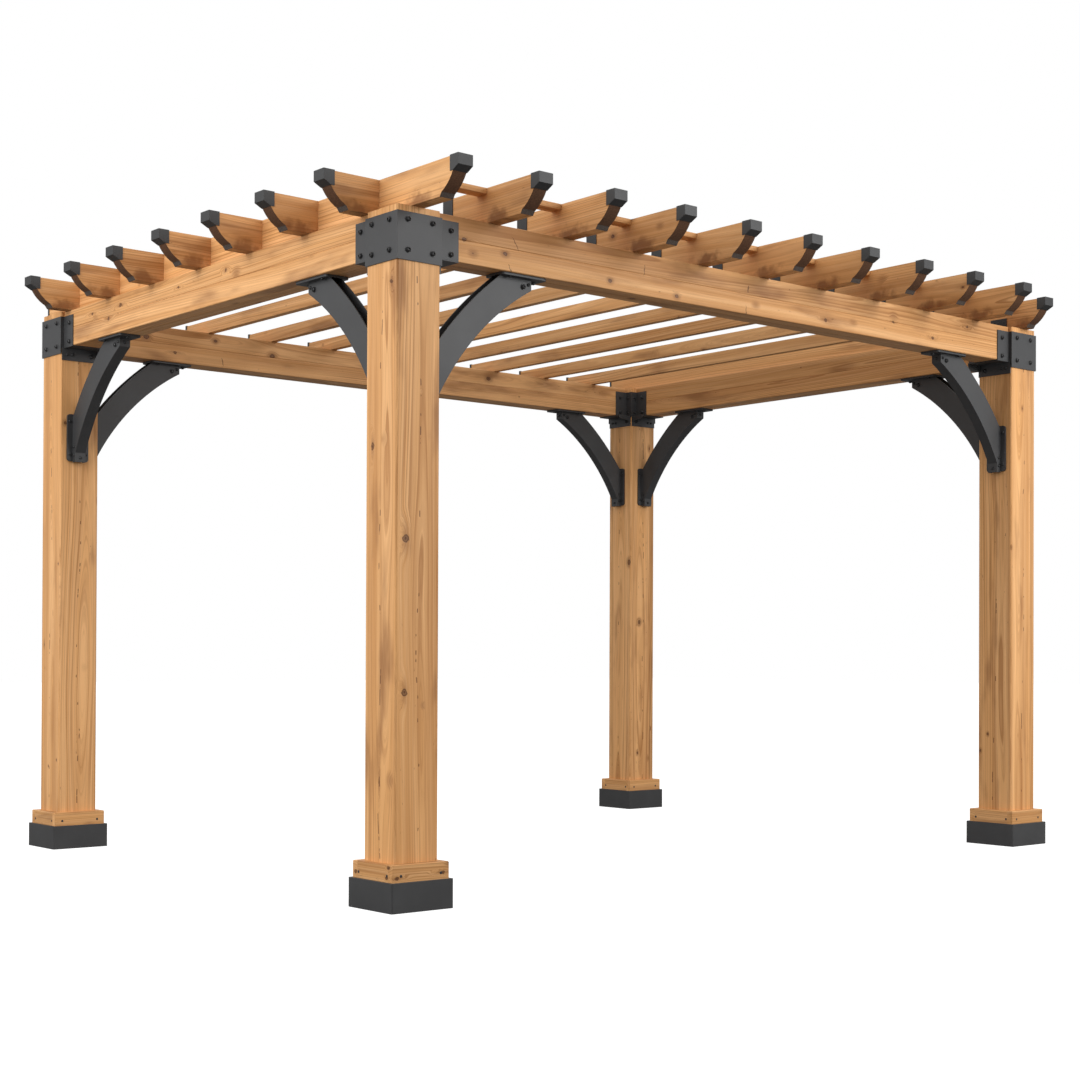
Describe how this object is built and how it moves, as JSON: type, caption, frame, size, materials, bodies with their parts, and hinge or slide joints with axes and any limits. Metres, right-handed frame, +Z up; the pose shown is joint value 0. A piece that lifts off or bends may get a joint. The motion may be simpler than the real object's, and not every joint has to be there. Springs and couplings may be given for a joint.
{
  "type": "pergola",
  "caption": "Freestanding open cedar pergola: square posts on dark steel boots, a ring of beams, curved knee braces and slim rafters with capped curved tails.",
  "frame": {"origin": "on the floor, in the middle of the whole object's bounding box", "axes": "+X along the long beams to the right, +Y from the front tails to the back, +Z up"},
  "size_m": [3.54, 2.727, 2.2275],
  "materials": {
    "cedar": "satin",
    "steel": "satin"
  },
  "bodies": {
    "root": {"base_boards_back_left": "cedar", "base_boards_back_right": "cedar", "base_boards_front_left": "cedar", "base_boards_front_right": "cedar", "beam_back": "cedar", "beam_front": "cedar", "beam_left": "cedar", "beam_right": "cedar", "boot_back_left": "steel", "boot_back_right": "steel", "boot_front_left": "steel", "boot_front_right": "steel", "corner_bracket_back_left": "steel", "corner_bracket_back_right": "steel", "corner_bracket_front_left": "steel", "corner_bracket_front_right": "steel", "filler_strips": "cedar", "knee_brace_x_back_left": "steel", "knee_brace_x_back_right": "steel", "knee_brace_x_front_left": "steel", "knee_brace_x_front_right": "steel", "knee_brace_y_back_left": "steel", "knee_brace_y_back_right": "steel", "knee_brace_y_front_left": "steel", "knee_brace_y_front_right": "steel", "post_back_left": "cedar", "post_back_right": "cedar", "post_front_left": "cedar", "post_front_right": "cedar", "rafter_01": "cedar", "rafter_02": "cedar", "rafter_03": "cedar", "rafter_04": "cedar", "rafter_05": "cedar", "rafter_06": "cedar", "rafter_07": "cedar", "rafter_08": "cedar", "rafter_09": "cedar", "rafter_10": "cedar", "rafter_11": "cedar", "rafter_clips": "steel", "saddle_back_left": "steel", "saddle_back_right": "steel", "saddle_front_left": "steel", "saddle_front_right": "steel", "side_tails_left": "cedar", "side_tails_right": "cedar", "tail_caps_back": "steel", "tail_caps_front": "steel", "tail_caps_left": "steel", "tail_caps_right": "steel"}
  },
  "joints": []
}
